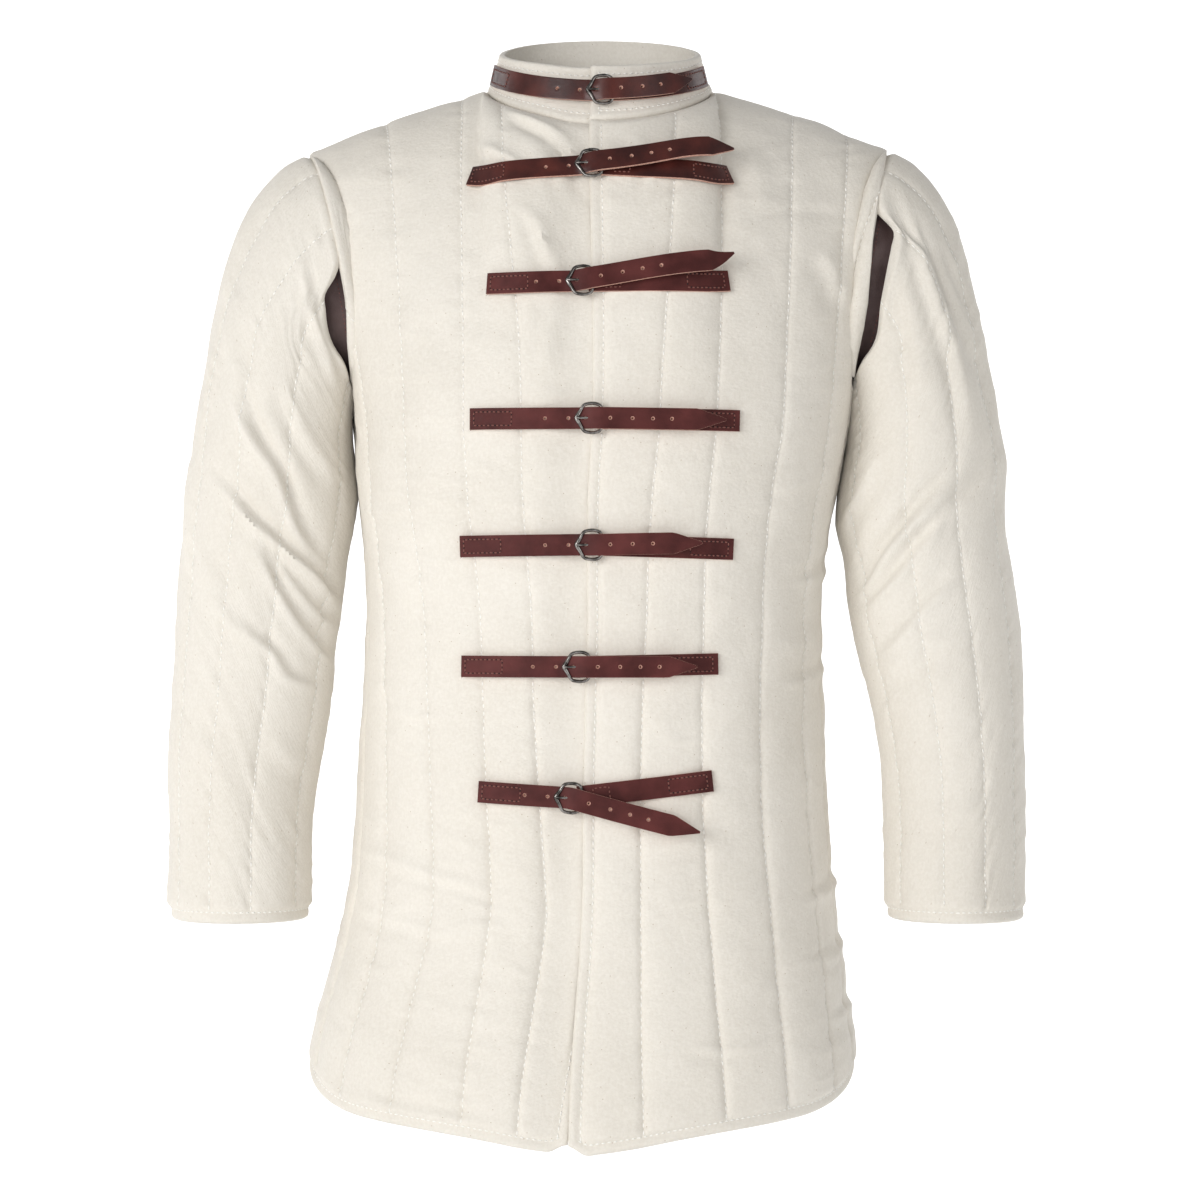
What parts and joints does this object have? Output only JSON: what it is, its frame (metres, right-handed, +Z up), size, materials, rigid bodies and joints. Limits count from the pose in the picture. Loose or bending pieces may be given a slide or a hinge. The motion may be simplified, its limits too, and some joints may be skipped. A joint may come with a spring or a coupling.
{
  "type": "gambeson",
  "caption": "Quilted padded cotton arming jacket with a standing collar, long sleeves, open armpits and leather strap-and-buckle closures down the front, filled out as if worn.",
  "frame": {"origin": "the middle of the wearer's shoulder line, where the shoulders carry the jacket", "axes": "+Z up to the collar, -Y to the front with the buckles, +X to the wearer's left"},
  "size_m": [0.6726, 0.2857, 0.8564],
  "materials": {
    "unbleached_cotton": "matte plain-weave unbleached cotton, quilted over padding",
    "strap_leather": "semi-matte dark reddish-brown leather",
    "edging_leather": "soft dull brown leather",
    "antique_steel": "dark antique steel wire"
  },
  "bodies": {
    "root": {"armpit_edging_left": "edging_leather", "armpit_edging_right": "edging_leather", "back": "unbleached_cotton", "buckle_1": "antique_steel", "buckle_2": "antique_steel", "buckle_3": "antique_steel", "buckle_4": "antique_steel", "buckle_5": "antique_steel", "buckle_6": "antique_steel", "buckle_7": "antique_steel", "collar": "unbleached_cotton", "front_left": "unbleached_cotton", "front_right": "unbleached_cotton", "prong_1": "antique_steel", "prong_2": "antique_steel", "prong_3": "antique_steel", "prong_4": "antique_steel", "prong_5": "antique_steel", "prong_6": "antique_steel", "prong_7": "antique_steel", "sleeve_left": "unbleached_cotton", "sleeve_right": "unbleached_cotton", "strap_1": "strap_leather", "strap_2": "strap_leather", "strap_3": "strap_leather", "strap_4": "strap_leather", "strap_5": "strap_leather", "strap_6": "strap_leather", "strap_7": "strap_leather", "tab_1": "strap_leather", "tab_2": "strap_leather", "tab_3": "strap_leather", "tab_4": "strap_leather", "tab_5": "strap_leather", "tab_6": "strap_leather", "tab_7": "strap_leather"}
  },
  "joints": []
}
